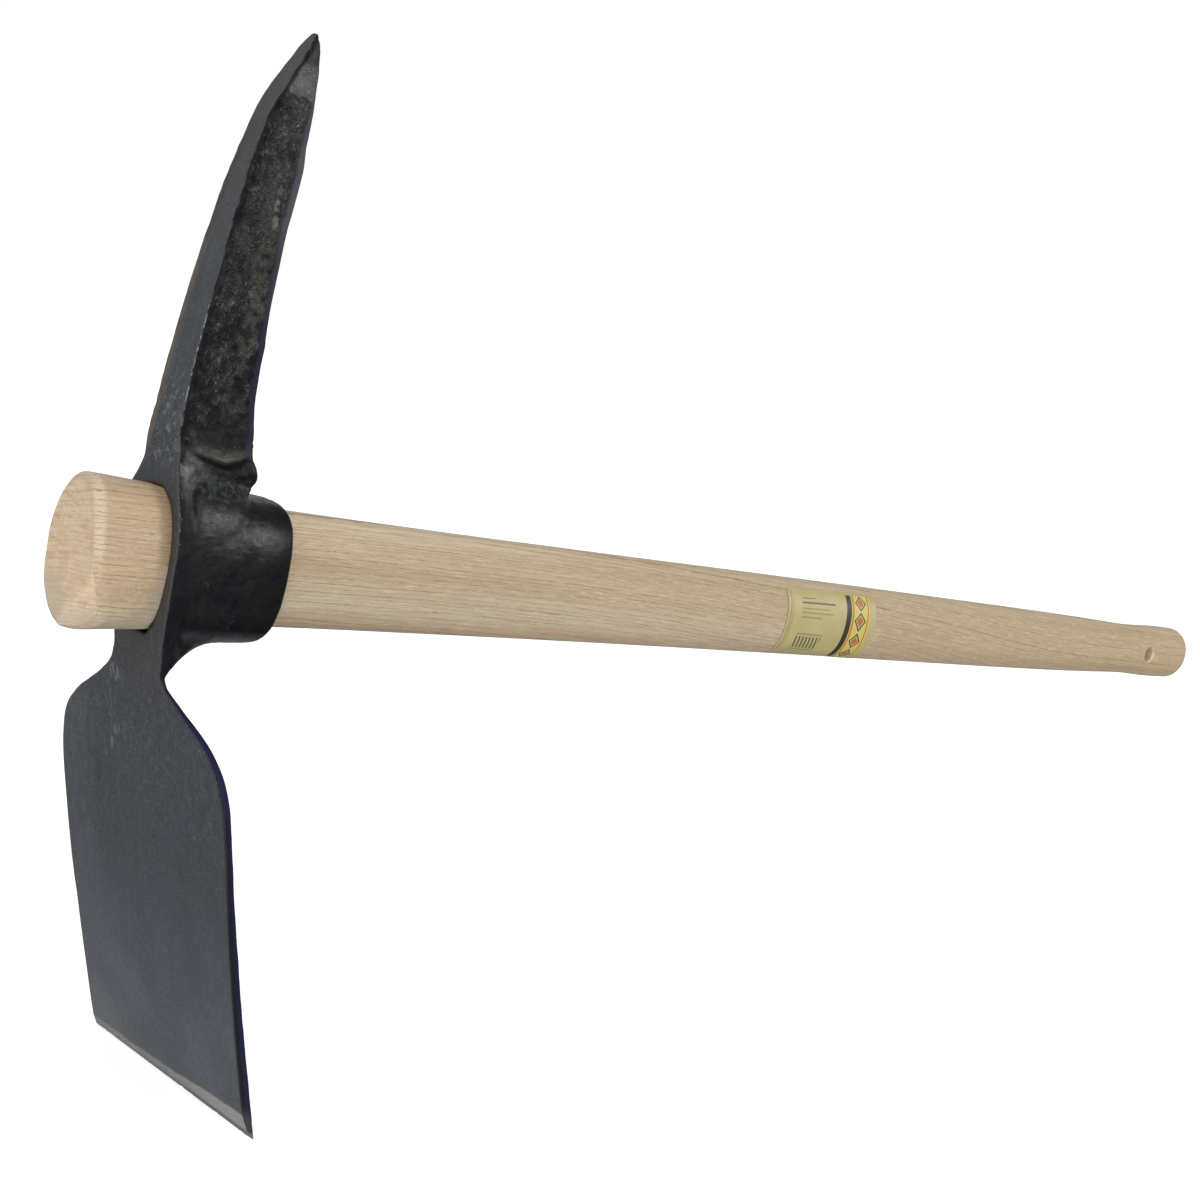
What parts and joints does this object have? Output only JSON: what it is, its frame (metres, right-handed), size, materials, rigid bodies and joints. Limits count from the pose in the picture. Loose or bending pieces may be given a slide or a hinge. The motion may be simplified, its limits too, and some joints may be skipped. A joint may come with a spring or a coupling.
{
  "type": "road hoe",
  "caption": "Road hoe: forged steel head with a pick point and a straight hoe blade, its collared oval eye seated on a slip-through ash handle with a hanging hole.",
  "frame": {"origin": "centre of the flat end face of the handle's butt, which stands out of the eye", "axes": "+X along the handle towards the grip, +Z towards the pick point with the blade hanging in -Z, -Y the labelled side"},
  "size_m": [1.0405, 0.1416, 0.5113],
  "materials": {
    "forged_steel": "satin",
    "ash_wood": "matte",
    "label_paper": "satin"
  },
  "bodies": {
    "handle": {"ash_handle": "ash_wood", "handle_label": "label_paper"},
    "head": {"forged_head": "forged_steel"}
  },
  "joints": [
    {"name": "head_slide", "type": "slide", "parent": "handle", "child": "head", "axis": [1, 0, 0], "range_m": [0, 1.03]}
  ]
}
